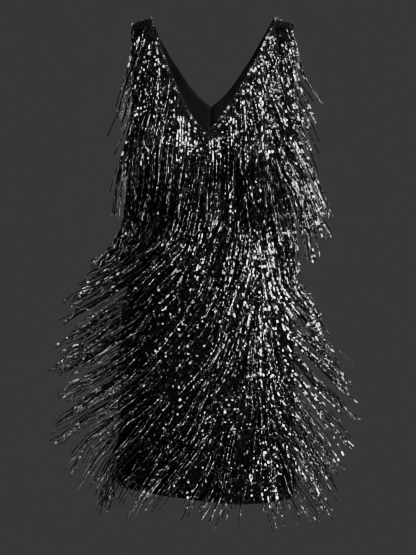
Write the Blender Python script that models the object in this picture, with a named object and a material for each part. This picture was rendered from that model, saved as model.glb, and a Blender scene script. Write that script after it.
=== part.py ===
"""V-neck sleeveless mini dress in sequinned cloth, with rows of swinging fringe.

Metres, +Z up. The dress faces -Y, so +X is the viewer's right. It keeps the hollow form it has when it is
filled out, on a general figure. The origin lies midway between the shoulders, where the straps rest.
Heights are measured from the top of the shoulders and run down to the hem, so they are negative.
"""

import math

import bmesh
import bpy
import numpy as np

FRONT, BACK = -1, 1
LEFT, RIGHT = -1, 1

# Cloth walls
PANEL_WALL = 0.0015
LINING_WALL = 0.0010
SEAM_GAP = 0.0003
SHOULDER_SEAT = PANEL_WALL + SEAM_GAP + LINING_WALL

# Main heights
CHEST = -0.216
BACK_V = -0.1535
LINING_FOOT = -0.292
HEM = -0.869

# The shoulder rolls over from front to back in this height and drops by this much towards the armhole
SHOULDER_ROLL = 0.070
SHOULDER_DROP = 0.012
SHOULDER_DROP_FADE = 0.150

# The hem slants as the skirt swings: share of the half width, rise of the hem
HEM_SLANT = (
    (1.00, 0.0020),
    (0.70, -0.0010),
    (0.35, -0.0020),
    (0.00, 0.0030),
    (-0.20, 0.0078),
    (-0.46, 0.0125),
    (-0.76, 0.0190),
    (-1.00, 0.0225),
)
HEM_SLANT_FROM = -0.700

# Edges that bend by more than this are shaded as edges
SHARP_EDGE = math.radians(50)

# How square the sections are: 2 is an ellipse
SQUARENESS = 2.3

# height, centre in x, half width, front depth, back depth
SECTIONS = (
    (0.000, 0.009, 0.190, 0.084, 0.080),
    (-0.080, 0.009, 0.175, 0.090, 0.087),
    (-0.120, 0.008, 0.168, 0.099, 0.094),
    (-0.160, 0.008, 0.162, 0.107, 0.098),
    (-0.190, 0.007, 0.158, 0.112, 0.098),
    (-0.216, 0.007, 0.155, 0.114, 0.097),
    (-0.265, 0.006, 0.151, 0.112, 0.094),
    (-0.320, 0.005, 0.142, 0.105, 0.089),
    (-0.370, 0.003, 0.133, 0.098, 0.084),
    (-0.410, 0.000, 0.131, 0.096, 0.083),
    (-0.460, -0.001, 0.138, 0.100, 0.091),
    (-0.520, -0.002, 0.149, 0.106, 0.106),
    (-0.600, -0.003, 0.158, 0.110, 0.119),
    (-0.690, -0.003, 0.160, 0.110, 0.118),
    (-0.780, -0.003, 0.160, 0.110, 0.114),
    (-0.869, -0.003, 0.161, 0.111, 0.113),
)

# height, half width of the armhole edges, of the front neckline and of the back neckline. Below the point of
# the back neckline its values only carry its slope on
OPENING_EDGES = (
    (0.0000, 0.1470, 0.1135, 0.1135),
    (-0.0120, 0.1466, 0.1080, 0.1060),
    (-0.0340, 0.1458, 0.0990, 0.0926),
    (-0.0650, 0.1447, 0.0878, 0.0742),
    (-0.0870, 0.1440, 0.0780, 0.0595),
    (-0.1170, 0.1432, 0.0640, 0.0385),
    (-0.1350, 0.1431, 0.0548, 0.0225),
    (-0.1535, 0.1434, 0.0447, 0.0000),
    (-0.1800, 0.1455, 0.0295, -0.0380),
    (-0.2000, 0.1492, 0.0155, -0.0660),
    (-0.2160, 0.1550, 0.0000, -0.0880),
)
ARMHOLE_CENTRE = 0.008
BACK_NECK_CENTRE = 0.006
FRONT_NECK_CENTRE_TOP = 0.0104
FRONT_NECK_LEAN = 0.0695

# Bust cups in the front panel
CUP_APEX_X = 0.074
CUP_HEIGHT = -0.262
CUP_RISE = 0.013
CUP_WIDTH = 0.046
CUP_LENGTH = 0.050

# Panel grid
BODY_COLUMNS = 16
SHOULDER_ROWS = 5
FRONT_STRAP_HEIGHTS = (-0.183, -0.150, -0.116, -0.082)
BACK_STRAP_HEIGHTS = (-0.192, -0.168, BACK_V, -0.116, -0.082)

# Fringe
STRIP_TALL = 0.005
STRIP_THICK = 0.0016
STRIP_GAP = 0.0005
STRIP_MARGIN = 0.006
CORNER_SPACE = 0.0015
ROW_STAGGER = 0.2
LOCK_SEGMENTS = 4
LOCK_ROOT_WIDTH = 0.0055
LOCK_MIDDLE_WIDTH = 0.0050
LOCK_TIP_WIDTH = 0.0030
LOCK_THICK = 0.0016
LOCK_RAMP = 0.060
LOCK_TIP_LIFT = 0.010
LOCK_FALL_BACK = 0.12
STRAIGHT_SHARE = 0.82
FLUNG_SHARE = 0.94
FLUNG_ANGLE = math.radians(60)
SWING_EARLY = 1.5
LEAST_SHARE = 0.05
GREATEST_SHARE = 0.985
LENGTH_SPREAD = 0.05
ANGLE_SPREAD = 2.5
SEED = 7

# height of the strip, length of its strands, strands across the front and across the back
FRINGE_ROWS = (
    (-0.222, 0.150, 13, 10),
    (-0.292, 0.150, 12, 10),
    (-0.362, 0.150, 12, 9),
    (-0.432, 0.155, 12, 10),
    (-0.502, 0.155, 13, 10),
    (-0.572, 0.155, 14, 11),
    (-0.642, 0.155, 14, 11),
    (-0.712, 0.155, 13, 10),
    (-0.772, 0.145, 12, 9),
)
# height of the strip, length of its strands, strands on it
FRONT_STRAP_ROWS = (
    (-0.082, 0.150, 3),
    (-0.150, 0.150, 4),
)
BACK_STRAP_ROW = (-0.082, 0.150, 2)
BACK_YOKE_ROW = (-0.168, 0.150, 9)

# Swing of the fringe in degrees from straight down, positive towards +X, by the height of its root and by
# the share of the half width: left edge, half way, centre, half way, right edge
SWING_SHARES = (-1.0, -0.5, 0.0, 0.5, 1.0)
SWING = (
    (0.000, -12.0, -6.0, 0.0, 12.0, 27.0),
    (-0.150, -15.0, -7.0, -1.0, 10.0, 27.0),
    (-0.222, -9.0, -6.0, -3.0, 4.0, 24.0),
    (-0.292, -4.0, -9.0, -6.0, 1.0, 20.0),
    (-0.325, -8.0, -14.0, -8.0, 0.0, 20.0),
    (-0.362, -44.0, -27.0, -12.0, -2.0, 22.0),
    (-0.432, -60.0, -40.0, -22.0, -4.0, 28.0),
    (-0.502, -66.0, -47.0, -29.0, -5.0, 36.0),
    (-0.642, -66.0, -47.0, -30.0, -3.0, 45.0),
    (-0.712, -59.0, -43.0, -25.0, 0.0, 40.0),
    (-0.772, -10.0, -25.0, -10.0, 3.0, 30.0),
    (-0.900, -6.0, -14.0, -5.0, 4.0, 22.0),
)
# How far a strand's swing follows the height that it has reached, and the share of it at the root
SWING_FOLLOWS = 0.20
SWING_AT_ROOT = 0.75
# Strands on the +X side are caught at a fuller length, and those on the -X side at a shorter one
LENGTH_LEAN = 0.06

# name, colour, roughness, metallic
CLOTH_LOOK = ("sequinned_cloth", (0.012, 0.012, 0.013, 1.0), 0.35, 0.0)
LINING_LOOK = ("lining_cloth", (0.030, 0.029, 0.031, 1.0), 0.80, 0.0)
FRINGE_LOOK = ("beaded_fringe", (0.020, 0.020, 0.022, 1.0), 0.25, 0.0)


def curve_of(rows, column):
    """A smooth function through one column of a table whose first column, often the height, runs downwards."""
    stops = np.array([row[0] for row in rows])[::-1]
    values = np.array([row[column] for row in rows])[::-1]
    slopes = np.gradient(values, stops)

    def at(place):
        p = np.clip(place, stops[0], stops[-1])
        i = int(np.clip(np.searchsorted(stops, p) - 1, 0, len(stops) - 2))
        span = stops[i + 1] - stops[i]
        t = (p - stops[i]) / span
        near = (1 + 2 * t) * (1 - t) ** 2 * values[i] + t**2 * (3 - 2 * t) * values[i + 1]
        return float(near + span * t * (1 - t) * ((1 - t) * slopes[i] - t * slopes[i + 1]))

    return at


section_centre = curve_of(SECTIONS, 1)
section_half = curve_of(SECTIONS, 2)
section_depth = {FRONT: curve_of(SECTIONS, 3), BACK: curve_of(SECTIONS, 4)}
armhole_half = curve_of(OPENING_EDGES, 1)
neck_half = {FRONT: curve_of(OPENING_EDGES, 2), BACK: curve_of(OPENING_EDGES, 3)}
hem_rise = curve_of(HEM_SLANT, 1)
swing_curves = [curve_of(SWING, column) for column in range(1, len(SWING_SHARES) + 1)]


def shoulder_share(height):
    """The share of the full depth at a height: 0 on top of the shoulder and 1 below its roll."""
    down = min(-height / SHOULDER_ROLL, 1.0)
    return math.sqrt(max(0.0, 1.0 - (1.0 - down) ** 2))


def full_depth(side, height):
    return section_depth[side](height) * shoulder_share(height)


def cup(side, x, height):
    """How far the bust cups push the front panel out."""
    if side == BACK:
        return 0.0
    across = [(x - section_centre(height) - way * CUP_APEX_X) / CUP_WIDTH for way in (LEFT, RIGHT)]
    down = (height - CUP_HEIGHT) / CUP_LENGTH
    return CUP_RISE * sum(math.exp(-(a * a) - down * down) for a in across)


def height_shift(x, height):
    """The drop of the shoulder towards the armhole, and the slant of the hem."""
    neck_end, arm_end = neck_half[FRONT](0.0), armhole_half(0.0)
    from_neck = (abs(x - ARMHOLE_CENTRE) - neck_end) / (arm_end - neck_end)
    fade = max(0.0, 1.0 + height / SHOULDER_DROP_FADE)
    drop = SHOULDER_DROP * min(max(from_neck, 0.0), 1.0) * fade
    low = max(0.0, (HEM_SLANT_FROM - height) / (HEM_SLANT_FROM - HEM))
    return SHOULDER_SEAT - drop + hem_rise(side_share(x, height)) * low**2


def body_point(side, angle, height):
    """A point on the cloth's outer face. The angle is 0 at the -X side seam and pi at the +X side seam."""
    power = 2.0 / SQUARENESS
    cos, sin = math.cos(angle), max(math.sin(angle), 0.0)
    x = section_centre(height) - section_half(height) * math.copysign(abs(cos) ** power, cos)
    y = side * (full_depth(side, height) * sin**power + cup(side, x, height))
    return np.array((x, y, height + height_shift(x, height)))


def outward(side, angle, height):
    """The unit normal of the cloth's outer face."""
    da, dh = 1e-3, 5e-4
    a0, a1 = max(angle - da, 1e-6), min(angle + da, math.pi - 1e-6)
    h0, h1 = min(height + dh, -1e-6), max(height - dh, HEM)
    along = body_point(side, a1, height) - body_point(side, a0, height)
    down = body_point(side, angle, h1) - body_point(side, angle, h0)
    normal = np.cross(along, down) * side
    return normal / np.linalg.norm(normal)


def angle_at(x, height):
    """The angle at which a section reaches x."""
    share = (section_centre(height) - x) / section_half(height)
    share = max(-1.0, min(1.0, share))
    return math.acos(math.copysign(abs(share) ** (SQUARENESS / 2.0), share))


def seam_angle(side, height):
    """The angle at which the cloth stops, half a seam gap short of the side seam."""
    share = SEAM_GAP / 2 / max(full_depth(side, height), SEAM_GAP)
    return math.asin(share ** (SQUARENESS / 2.0))


def neck_centre(side, height):
    if side == BACK:
        return BACK_NECK_CENTRE
    return FRONT_NECK_CENTRE_TOP + FRONT_NECK_LEAN * height


def middle_x(side, height):
    """Where the middle of the panel runs: through the point of the neckline and on down to the hem."""
    point = CHEST if side == FRONT else BACK_V
    if height >= point:
        return neck_centre(side, height)
    skew = neck_centre(side, point) - section_centre(point)
    below = (point - height) / (point - HEM)
    return section_centre(height) + skew * (1.0 - below) ** 3


def outer_angle(side, way, height):
    """The panel's outer edge: the side seam below the chest, and the armhole above it."""
    if height <= CHEST:
        a = seam_angle(side, height)
        return a if way == LEFT else math.pi - a
    return angle_at(ARMHOLE_CENTRE + way * armhole_half(height), height)


def inner_angle(side, way, height, split):
    """The panel's inner edge: the neckline, and below it the middle or, on split panels, the centre seam."""
    half = neck_half[side](height) if height > (CHEST if side == FRONT else BACK_V) else 0.0
    half = max(half, SEAM_GAP / 2 if split else 0.0)
    return angle_at(middle_x(side, height) + way * half, height)


def row_heights(side):
    """Heights of the panel's rows from the hem up to the shoulder seam."""
    strips = [HEM] + [row[0] for row in FRINGE_ROWS][::-1]
    body = [h for low, high in zip(strips, strips[1:]) for h in (low, (low + high) / 2)] + [strips[-1], CHEST]
    straps = list(FRONT_STRAP_HEIGHTS if side == FRONT else BACK_STRAP_HEIGHTS)
    turns = np.linspace(math.pi / 2, 0.0, SHOULDER_ROWS + 1)
    roll = [-SHOULDER_ROLL * (1.0 - math.cos(turn)) for turn in turns]
    return body + straps + roll[:-1] + [shoulder_seam_height(side)]


def shoulder_seam_height(side):
    """The height at which the roll comes within half a gap of the shoulder seam."""
    share = SEAM_GAP / 2 / section_depth[side](0.0)
    return -SHOULDER_ROLL * (1.0 - math.sqrt(1.0 - share * share))


def half_rows(side, way, split, foot=HEM):
    """Grid rows of (angle, height) on one half of a panel, from its outer edge to its inner one."""
    columns = BODY_COLUMNS // 2
    rows = []
    for height in row_heights(side):
        if height < foot - 1e-6:
            continue
        a = outer_angle(side, way, height)
        b = inner_angle(side, way, height, split)
        rows.append([(a + (b - a) * j / columns, height) for j in range(columns + 1)])
    return rows


def wall_mesh(name, side, halves, outer_lift, thickness):
    """A closed wall over one or two half grids. Grid points that coincide are shared."""
    mesh = bmesh.new()
    places = {}

    def corner(angle, height, layer):
        key = (round(angle, 7), round(height, 7), layer)
        if key not in places:
            lift = outer_lift - layer * thickness
            place = body_point(side, angle, height) + lift * outward(side, angle, height)
            places[key] = mesh.verts.new(place)
        return places[key]

    edges = {}
    for rows in halves:
        for low, high in zip(rows, rows[1:]):
            for j in range(len(low) - 1):
                ring = [low[j], low[j + 1], high[j + 1], high[j]]
                for three in (ring[:3], [ring[0], ring[2], ring[3]]):
                    mesh.faces.new([corner(*p, 0) for p in three])
                    mesh.faces.new([corner(*p, 1) for p in reversed(three)])
                for p, q in zip(ring, ring[1:] + ring[:1]):
                    key = frozenset((tuple(round(v, 7) for v in p), tuple(round(v, 7) for v in q)))
                    edges[key] = None if key in edges else (p, q)
    for rim in edges.values():
        if rim:
            p, q = rim
            mesh.faces.new([corner(*q, 0), corner(*p, 0), corner(*p, 1), corner(*q, 1)])
    return finish_object(mesh, name, CLOTH_LOOK if outer_lift == 0.0 else LINING_LOOK)


def finish_object(mesh, name, look):
    """Turns a bmesh into a named, smooth-shaded object with its own material."""
    bmesh.ops.recalc_face_normals(mesh, faces=mesh.faces)
    data = bpy.data.meshes.new(name)
    mesh.to_mesh(data)
    mesh.free()
    data.shade_smooth()
    data.set_sharp_from_angle(angle=SHARP_EDGE)
    data.materials.append(material_of(name, look))
    thing = bpy.data.objects.new(name, data)
    bpy.context.scene.collection.objects.link(thing)
    return thing


def material_of(name, look):
    kind, colour, roughness, metallic = look
    material = bpy.data.materials.new(f"{name}_{kind}")
    material.use_nodes = True
    shader = material.node_tree.nodes["Principled BSDF"]
    shader.inputs["Base Color"].default_value = colour
    shader.inputs["Roughness"].default_value = roughness
    shader.inputs["Metallic"].default_value = metallic
    return material


def side_share(x, height):
    """Where x lies across the dress: -1 at the -X side seam and 1 at the +X one."""
    return (x - section_centre(height)) / section_half(height)


def swing_at(x, root_height, height):
    """The swing in radians of a strand that hangs from one height and has reached another."""
    felt = root_height + SWING_FOLLOWS * (height - root_height)
    angles = [curve(felt) for curve in swing_curves]
    return math.radians(float(np.interp(side_share(x, height), SWING_SHARES, angles)))


def hung_depth(side, x, height, lift, root_share, aim_share, gone):
    """How far in front of the side seams a strand hangs: over the body, and clear of it past its sides."""
    centre, depth = section_centre(height), full_depth(side, height)
    target = root_share + (aim_share - root_share) * min(1.0, SWING_EARLY * gone)
    reach = max(section_half(height) + lift, abs(x - centre) / max(target, LEAST_SHARE))
    share = min(abs(x - centre) / reach, 1.0)
    return (depth + lift) * (1.0 - share**SQUARENESS) ** (1.0 / SQUARENESS) + cup(side, x, height)


def lock_path(side, start, root_height, length, turn):
    """Points down the middle of a lock, its root first. The turn is its own small share of the swing."""
    x, z = start[0], start[2]
    root_share = min(abs(side_share(x, root_height)), GREATEST_SHARE)
    step = length / LOCK_SEGMENTS
    points, depth = [start], abs(start[1])
    for i in range(1, LOCK_SEGMENTS + 1):
        gone = i / LOCK_SEGMENTS
        grown = SWING_AT_ROOT + (1.0 - SWING_AT_ROOT) * min(1.0, (2 * i - 1) / LOCK_SEGMENTS)
        near = swing_at(x, root_height, z)
        angle = grown * swing_at(x + math.sin(near) * step / 2, root_height, z - math.cos(near) * step / 2)
        x, z = x + math.sin(angle + turn) * step, z - math.cos(angle + turn) * step
        lift = STRIP_GAP + STRIP_THICK / 2 + LOCK_RAMP * length * gone + LOCK_TIP_LIFT * gone**2
        aim_share = STRAIGHT_SHARE + (FLUNG_SHARE - STRAIGHT_SHARE) * min(1.0, abs(angle) / FLUNG_ANGLE)
        here = hung_depth(side, x, max(z - SHOULDER_SEAT, HEM), lift, root_share, aim_share, gone)
        depth = max(here, depth - LOCK_FALL_BACK * step)
        points.append(np.array((x, side * depth, z)))
    return points


def section_normal(side, x, y, height):
    """The direction straight out of the section's outline, level, near a point beside it."""
    across = side_share(x, height)
    forward = abs(y) / full_depth(side, height)
    across_pull = math.copysign(abs(across) ** (SQUARENESS - 1.0), across) / section_half(height)
    forward_pull = side * forward ** (SQUARENESS - 1.0) / full_depth(side, height)
    return np.array((across_pull, forward_pull, 0.0))


def lock_frame(points, i, side):
    """The unit vectors across a lock and out of it at one of its points."""
    along = points[i + 1] - points[i - 1]
    x, y, z = points[i]
    across = np.cross(along, section_normal(side, x, y, max(z - SHOULDER_SEAT, HEM))) * side
    across = across / np.linalg.norm(across)
    out = np.cross(across, along) * side
    return across, out / np.linalg.norm(out)


def panel_angles(side, ways, height):
    """The angles of the panel's grid corners along a row, from its -X end to its +X end."""
    halves = [half_rows(side, way, False, height)[0] for way in ways]
    return sorted({round(angle, 9) for half in halves for angle, _ in half})


def root_stations(total, count, stagger):
    """How far along the strip the two sides of each lock's root lie."""
    pitch = (total - 2 * STRIP_MARGIN) / count
    middles = STRIP_MARGIN + pitch * (np.arange(count) + 0.5 + stagger)
    return [(m - LOCK_ROOT_WIDTH / 2, m + LOCK_ROOT_WIDTH / 2) for m in middles]


def strip_object(name, side, ways, row, dice, stagger=0.0):
    """A row of fringe: a narrow strip along the panel with locks that grow out of its lower edge."""
    height, length, count = row
    angles = panel_angles(side, ways, height)
    line = np.array([body_point(side, a, height) for a in angles])
    run = np.concatenate(([0.0], np.cumsum(np.linalg.norm(np.diff(line, axis=0), axis=1))))
    roots = root_stations(run[-1], count, stagger)
    clear = [s for s in run[1:-1] if all(s < a - CORNER_SPACE or s > b + CORNER_SPACE for a, b in roots)]
    ends = [STRIP_MARGIN / 2, run[-1] - STRIP_MARGIN / 2]
    clear = [s for s in clear if ends[0] + CORNER_SPACE < s < ends[1] - CORNER_SPACE]
    stations = sorted(ends + clear + [s for root in roots for s in root])

    def place(s, h, lift):
        """A point on the flat between two corners of the panel, moved out by a lift."""
        i = int(np.clip(np.searchsorted(run, s) - 1, 0, len(run) - 2))
        t = (s - run[i]) / (run[i + 1] - run[i])
        one, two = (body_point(side, a, h) + lift * outward(side, a, h) for a in angles[i : i + 2])
        return one + (two - one) * t

    mesh = bmesh.new()
    rings = []
    for s in stations:
        corners = ((1, 0), (1, 1), (-1, 1), (-1, 0))
        ring = [place(s, height + up * STRIP_TALL / 2, STRIP_GAP + out * STRIP_THICK) for up, out in corners]
        rings.append([mesh.verts.new(p) for p in ring])
    starts = [stations.index(root[0]) for root in roots]
    for k, (one, two) in enumerate(zip(rings, rings[1:])):
        for j in range(4):
            if j != 2 or k not in starts:
                mesh.faces.new([one[j], two[j], two[(j + 1) % 4], one[(j + 1) % 4]])
    mesh.faces.new(rings[0])
    mesh.faces.new(rings[-1][::-1])
    for k in starts:
        left, right = rings[k], rings[k + 1]
        middle = (stations[k] + stations[k + 1]) / 2
        start = place(middle, height - STRIP_TALL / 2, STRIP_GAP + STRIP_THICK / 2)
        turn = math.radians(ANGLE_SPREAD) * dice.uniform(-1, 1)
        own = LENGTH_SPREAD * dice.uniform(-1, 1) + LENGTH_LEAN * side_share(start[0], height)
        path = lock_path(side, start, height, length * (1.0 + own), turn)
        grow_lock(mesh, [left[3], left[2], right[2], right[3]], path, side)
    return finish_object(mesh, name, FRINGE_LOOK)


def grow_lock(mesh, root, points, side):
    """Grows a lock from its root face along its path to a pointed tip.

    The root's corners run inner left, outer left, outer right, inner right, as each ring's do.
    """
    last = root
    for i in range(1, len(points) - 1):
        across, out = lock_frame(points, i, side)
        share = (i - 1) / (len(points) - 2)
        wide = LOCK_MIDDLE_WIDTH + (LOCK_TIP_WIDTH - LOCK_MIDDLE_WIDTH) * share
        ring = []
        for a, o in ((-1, -1), (-1, 1), (1, 1), (1, -1)):
            ring.append(mesh.verts.new(points[i] + across * a * wide / 2 + out * o * LOCK_THICK / 2))
        for j in range(4):
            mesh.faces.new([last[j], last[(j + 1) % 4], ring[(j + 1) % 4], ring[j]])
        last = ring
    tip = mesh.verts.new(points[-1])
    for j in range(4):
        mesh.faces.new([last[j], last[(j + 1) % 4], tip])


def make_panels():
    wall_mesh("front_panel", FRONT, [half_rows(FRONT, way, False) for way in (LEFT, RIGHT)], 0.0, PANEL_WALL)
    for way, word in ((LEFT, "left"), (RIGHT, "right")):
        rows = half_rows(BACK, way, True)
        wall_mesh(f"back_panel_{word}", BACK, [rows], 0.0, PANEL_WALL)
        facing = half_rows(BACK, way, True, LINING_FOOT)
        wall_mesh(f"back_lining_{word}", BACK, [facing], -PANEL_WALL - SEAM_GAP, LINING_WALL)


def make_fringe():
    dice = np.random.default_rng(SEED)
    for way, word in ((LEFT, "left"), (RIGHT, "right")):
        for k, row in enumerate(FRONT_STRAP_ROWS):
            strip_object(f"fringe_front_strap_{word}_{k + 1}", FRONT, (way,), row, dice)
        strip_object(f"fringe_back_strap_{word}", BACK, (way,), BACK_STRAP_ROW, dice)
    strip_object("fringe_back_yoke", BACK, (LEFT, RIGHT), BACK_YOKE_ROW, dice)
    for k, (height, length, front_count, back_count) in enumerate(FRINGE_ROWS):
        stagger = ROW_STAGGER if k % 2 else -ROW_STAGGER
        for side, word, count in ((FRONT, "front", front_count), (BACK, "back", back_count)):
            row = (height, length, count)
            strip_object(f"fringe_{word}_{k + 1}", side, (LEFT, RIGHT), row, dice, stagger)


def main():
    for thing in list(bpy.data.objects):
        bpy.data.objects.remove(thing)
    make_panels()
    make_fringe()


main()
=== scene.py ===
"""Looks of a V-neck mini dress in sequinned cloth, with rows of beaded string fringe caught in a swing.

Metres, +Z up. The dress faces -Y. Heights are measured from the shoulders down, so they are negative.
"""

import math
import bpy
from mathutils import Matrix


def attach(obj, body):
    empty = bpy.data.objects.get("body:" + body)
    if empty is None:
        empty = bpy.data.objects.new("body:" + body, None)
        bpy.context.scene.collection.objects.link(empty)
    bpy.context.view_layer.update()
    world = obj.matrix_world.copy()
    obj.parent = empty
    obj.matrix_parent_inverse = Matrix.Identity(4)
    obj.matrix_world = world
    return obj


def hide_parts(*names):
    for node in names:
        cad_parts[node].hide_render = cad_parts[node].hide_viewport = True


bl_info = {
    "name": "Sequin Fringe Dress",
    "version": (1, 0, 0),
    "blender": (4, 5, 0),
    "location": "3D View > Sidebar > Fringe Dress",
    "description": "Cloth, sequins, beaded fringe and stage of a sequin fringe mini dress",
    "category": "Add Mesh",
}

import bpy
import numpy as np
from mathutils import Vector

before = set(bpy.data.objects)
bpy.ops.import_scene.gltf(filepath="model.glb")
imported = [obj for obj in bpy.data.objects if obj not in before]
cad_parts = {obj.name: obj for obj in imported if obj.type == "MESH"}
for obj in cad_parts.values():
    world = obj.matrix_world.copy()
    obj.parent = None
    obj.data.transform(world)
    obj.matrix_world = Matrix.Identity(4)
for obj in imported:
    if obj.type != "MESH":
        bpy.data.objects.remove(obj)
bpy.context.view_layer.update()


FRONT, BACK = -1, 1
LEFT, RIGHT = -1, 1
WAYS = ((LEFT, "left"), (RIGHT, "right"))
SIDES = ((FRONT, "front"), (BACK, "back"))
PANEL_PARTS = ((FRONT, (LEFT, RIGHT), "front"), (BACK, (LEFT,), "back_left"), (BACK, (RIGHT,), "back_right"))

# Cloth walls
PANEL_WALL = 0.0015
LINING_WALL = 0.0010
SEAM_GAP = 0.0003
SHOULDER_SEAT = PANEL_WALL + SEAM_GAP + LINING_WALL

# Main heights
CHEST = -0.216
BACK_V = -0.1535
LINING_FOOT = -0.292
HEM = -0.869

# The shoulder's roll from front to back, and its drop to the armhole
SHOULDER_ROLL = 0.070
SHOULDER_DROP = 0.012
SHOULDER_DROP_FADE = 0.150

# The hem slants as the skirt swings: share of the half width, rise of the hem
HEM_SLANT = (
    (1.00, 0.0020),
    (0.70, -0.0010),
    (0.35, -0.0020),
    (0.00, 0.0030),
    (-0.20, 0.0078),
    (-0.46, 0.0125),
    (-0.76, 0.0190),
    (-1.00, 0.0225),
)
HEM_SLANT_FROM = -0.700
SQUARENESS = 2.3

# height, centre in x, half width, front depth, back depth
SECTIONS = (
    (0.000, 0.009, 0.190, 0.084, 0.080),
    (-0.080, 0.009, 0.175, 0.090, 0.087),
    (-0.120, 0.008, 0.168, 0.099, 0.094),
    (-0.160, 0.008, 0.162, 0.107, 0.098),
    (-0.190, 0.007, 0.158, 0.112, 0.098),
    (-0.216, 0.007, 0.155, 0.114, 0.097),
    (-0.265, 0.006, 0.151, 0.112, 0.094),
    (-0.320, 0.005, 0.142, 0.105, 0.089),
    (-0.370, 0.003, 0.133, 0.098, 0.084),
    (-0.410, 0.000, 0.131, 0.096, 0.083),
    (-0.460, -0.001, 0.138, 0.100, 0.091),
    (-0.520, -0.002, 0.149, 0.106, 0.106),
    (-0.600, -0.003, 0.158, 0.110, 0.119),
    (-0.690, -0.003, 0.160, 0.110, 0.118),
    (-0.780, -0.003, 0.160, 0.110, 0.114),
    (-0.869, -0.003, 0.161, 0.111, 0.113),
)

# height, half width of the armhole edges, of the front neckline and of the back neckline. Below the point of
# the back neckline its values only carry its slope on
OPENING_EDGES = (
    (0.0000, 0.1470, 0.1135, 0.1135),
    (-0.0120, 0.1466, 0.1080, 0.1060),
    (-0.0340, 0.1458, 0.0990, 0.0926),
    (-0.0650, 0.1447, 0.0878, 0.0742),
    (-0.0870, 0.1440, 0.0780, 0.0595),
    (-0.1170, 0.1432, 0.0640, 0.0385),
    (-0.1350, 0.1431, 0.0548, 0.0225),
    (-0.1535, 0.1434, 0.0447, 0.0000),
    (-0.1800, 0.1455, 0.0295, -0.0380),
    (-0.2000, 0.1492, 0.0155, -0.0660),
    (-0.2160, 0.1550, 0.0000, -0.0880),
)
ARMHOLE_CENTRE = 0.008
BACK_NECK_CENTRE = 0.006
FRONT_NECK_CENTRE_TOP = 0.0104
FRONT_NECK_LEAN = 0.0695

# Bust cups in the front panel
CUP_APEX_X = 0.074
CUP_HEIGHT = -0.262
CUP_RISE = 0.013
CUP_WIDTH = 0.046
CUP_LENGTH = 0.050

# Soft creases in the cloth, where it eases at the waist, under the bust and over the hips
# side, x, height, half length, turn in degrees from level, half width, depth
CREASES = (
    (FRONT, -0.085, -0.345, 0.050, 14.0, 0.0060, 0.0011),
    (FRONT, 0.092, -0.352, 0.044, -18.0, 0.0055, 0.0010),
    (FRONT, -0.020, -0.402, 0.070, 4.0, 0.0080, 0.0012),
    (FRONT, 0.060, -0.424, 0.046, -8.0, 0.0065, 0.0009),
    (FRONT, -0.104, -0.436, 0.036, 20.0, 0.0060, 0.0010),
    (FRONT, 0.116, -0.500, 0.040, -52.0, 0.0070, 0.0008),
    (FRONT, -0.120, -0.235, 0.028, 38.0, 0.0050, 0.0009),
    (FRONT, 0.126, -0.240, 0.026, -42.0, 0.0050, 0.0009),
    (FRONT, -0.060, -0.640, 0.085, 80.0, 0.0100, 0.0010),
    (FRONT, 0.072, -0.700, 0.095, -84.0, 0.0110, 0.0011),
    (FRONT, 0.006, -0.790, 0.060, 88.0, 0.0090, 0.0009),
    (BACK, 0.000, -0.398, 0.075, 3.0, 0.0080, 0.0012),
    (BACK, -0.066, -0.374, 0.048, -12.0, 0.0060, 0.0010),
    (BACK, 0.074, -0.428, 0.044, 9.0, 0.0065, 0.0010),
    (BACK, -0.100, -0.300, 0.034, -34.0, 0.0055, 0.0009),
    (BACK, 0.096, -0.310, 0.036, 30.0, 0.0055, 0.0009),
    (BACK, -0.050, -0.700, 0.090, 84.0, 0.0110, 0.0010),
    (BACK, 0.084, -0.740, 0.080, -80.0, 0.0100, 0.0010),
)

# Grid of the fine shells
SHELL_COLUMNS = 30
SHELL_STEP = 0.0075
ROLL_ROWS = 16
WELD_REACH = 0.00002

# Rolled edges, and the steps of the lines that they follow
EDGE_THICK = 0.0011
EDGE_SIDES = 8
EDGE_STEP = 0.005
EDGE_ROLL_STEPS = 14
ARMHOLE_FOOT = 0.001
HEM_STEPS = 130
HEM_ENDS = 0.02

# Steps in which distances over the cloth are measured
BODY_STEPS = 900
ROLL_STEPS = 300
ROLL_END = 0.02
ROW_STEPS = 140
SEQUIN_ROW_STEPS = 100

# Fringe: name, and for each heading tape its height, the length of its strings and the share that hangs
FRINGE_ROWS = (
    ("1", ((-0.222, 0.150, 1.0), (-0.257, 0.150, 1.0))),
    ("2", ((-0.292, 0.150, 1.0), (-0.327, 0.150, 1.0))),
    ("3", ((-0.362, 0.150, 1.0), (-0.397, 0.152, 1.0))),
    ("4", ((-0.432, 0.165, 0.65), (-0.467, 0.165, 0.55))),
    ("5", ((-0.502, 0.165, 0.52), (-0.537, 0.165, 0.52))),
    ("6", ((-0.572, 0.165, 0.52), (-0.607, 0.165, 0.52))),
    ("7", ((-0.642, 0.165, 0.54), (-0.677, 0.162, 0.54))),
    ("8", ((-0.712, 0.158, 0.55), (-0.742, 0.150, 0.50))),
    ("9", ((-0.772, 0.145, 0.50), (-0.800, 0.122, 0.45))),
)
FRONT_STRAP_ROWS = (
    ("1", ((-0.014, 0.150, 1.0), (-0.047, 0.150, 1.0), (-0.082, 0.150, 1.0))),
    ("2", ((-0.116, 0.150, 1.0), (-0.150, 0.150, 1.0), (-0.186, 0.150, 1.0))),
)
BACK_STRAP_ROW = ((-0.014, 0.150, 1.0), (-0.047, 0.150, 1.0), (-0.082, 0.150, 1.0), (-0.120, 0.150, 1.0))
BACK_YOKE_ROW = ((-0.168, 0.150, 1.0), (-0.195, 0.150, 1.0))
TAPE_TALL = 0.0030
TAPE_LIFT = 0.0004
TAPE_THICK = 0.0008
TAPE_MARGIN = 0.003
TAPE_STEP = 0.010

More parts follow.
